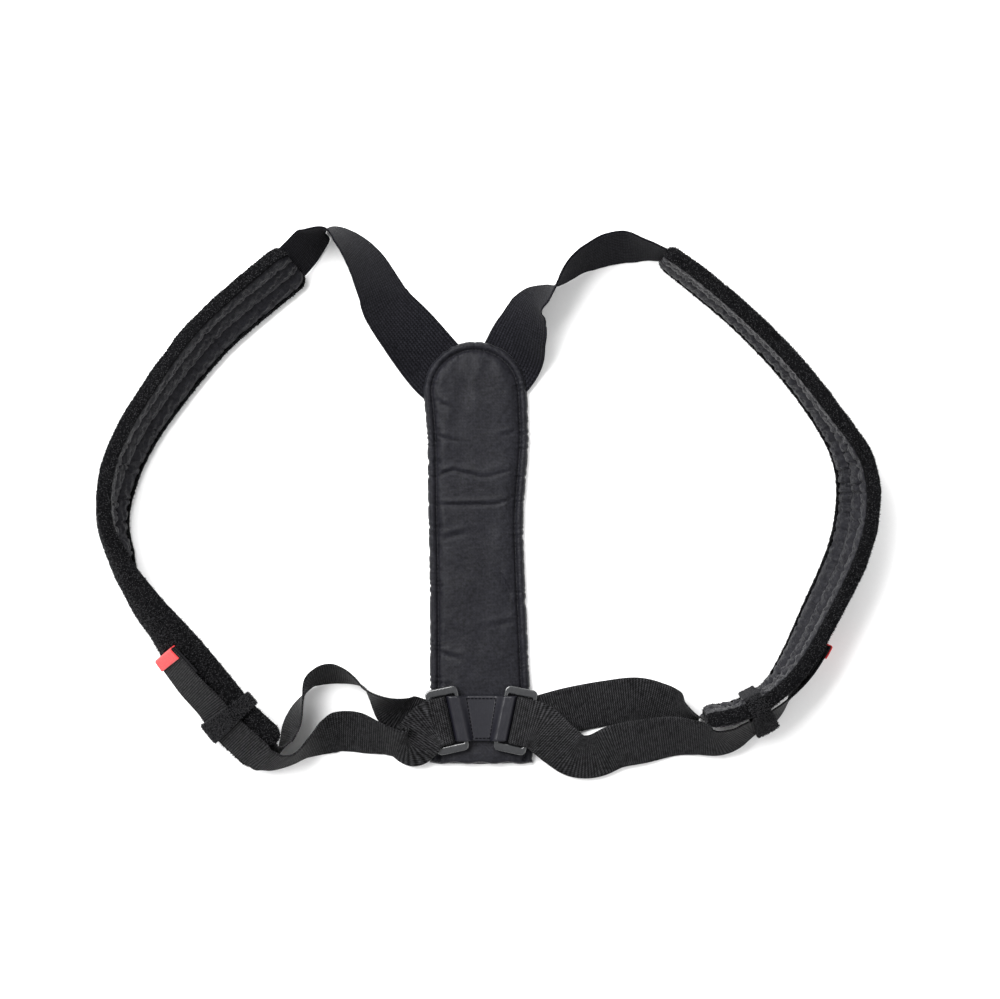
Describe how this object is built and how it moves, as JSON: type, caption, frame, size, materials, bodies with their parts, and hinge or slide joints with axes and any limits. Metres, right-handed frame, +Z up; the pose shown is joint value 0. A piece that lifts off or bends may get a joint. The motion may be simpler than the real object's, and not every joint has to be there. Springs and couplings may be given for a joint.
{
  "type": "posture corrector",
  "caption": "Figure-eight posture brace: padded back panel, elastic neck straps, padded shoulder loops, and webbing straps that run through rectangular rings back to the loops.",
  "frame": {"origin": "middle of the bounding box at the surface that the part lies on", "axes": "+X across the back to the right side as pictured, +Y from the lower back to the neck, +Z up from the surface"},
  "size_m": [0.6158, 0.442, 0.0628],
  "materials": {
    "satin": "fine plain weave with a light sheen",
    "pile": "short velour pile",
    "elastic_knit": "matt fine knit elastic",
    "webbing_weave": "ribbed webbing",
    "hook_tape": "hook tape",
    "tab_cloth": "plain coloured tape",
    "coated_band": "smooth coated band",
    "ring_plastic": "glossy dark grey"
  },
  "bodies": {
    "root": {"back_pad": "satin", "ring_band": "coated_band", "elastic_strap_left": "elastic_knit", "shoulder_facing_left": "pile", "shoulder_lining_left": "satin", "webbing_left": "webbing_weave", "hook_patch_left": "hook_tape", "pull_tab_left": "tab_cloth", "keeper_left": "pile", "ring_left": "ring_plastic", "elastic_strap_right": "elastic_knit", "shoulder_facing_right": "pile", "shoulder_lining_right": "satin", "webbing_right": "webbing_weave", "hook_patch_right": "hook_tape", "pull_tab_right": "tab_cloth", "keeper_right": "pile", "ring_right": "ring_plastic"}
  },
  "joints": []
}
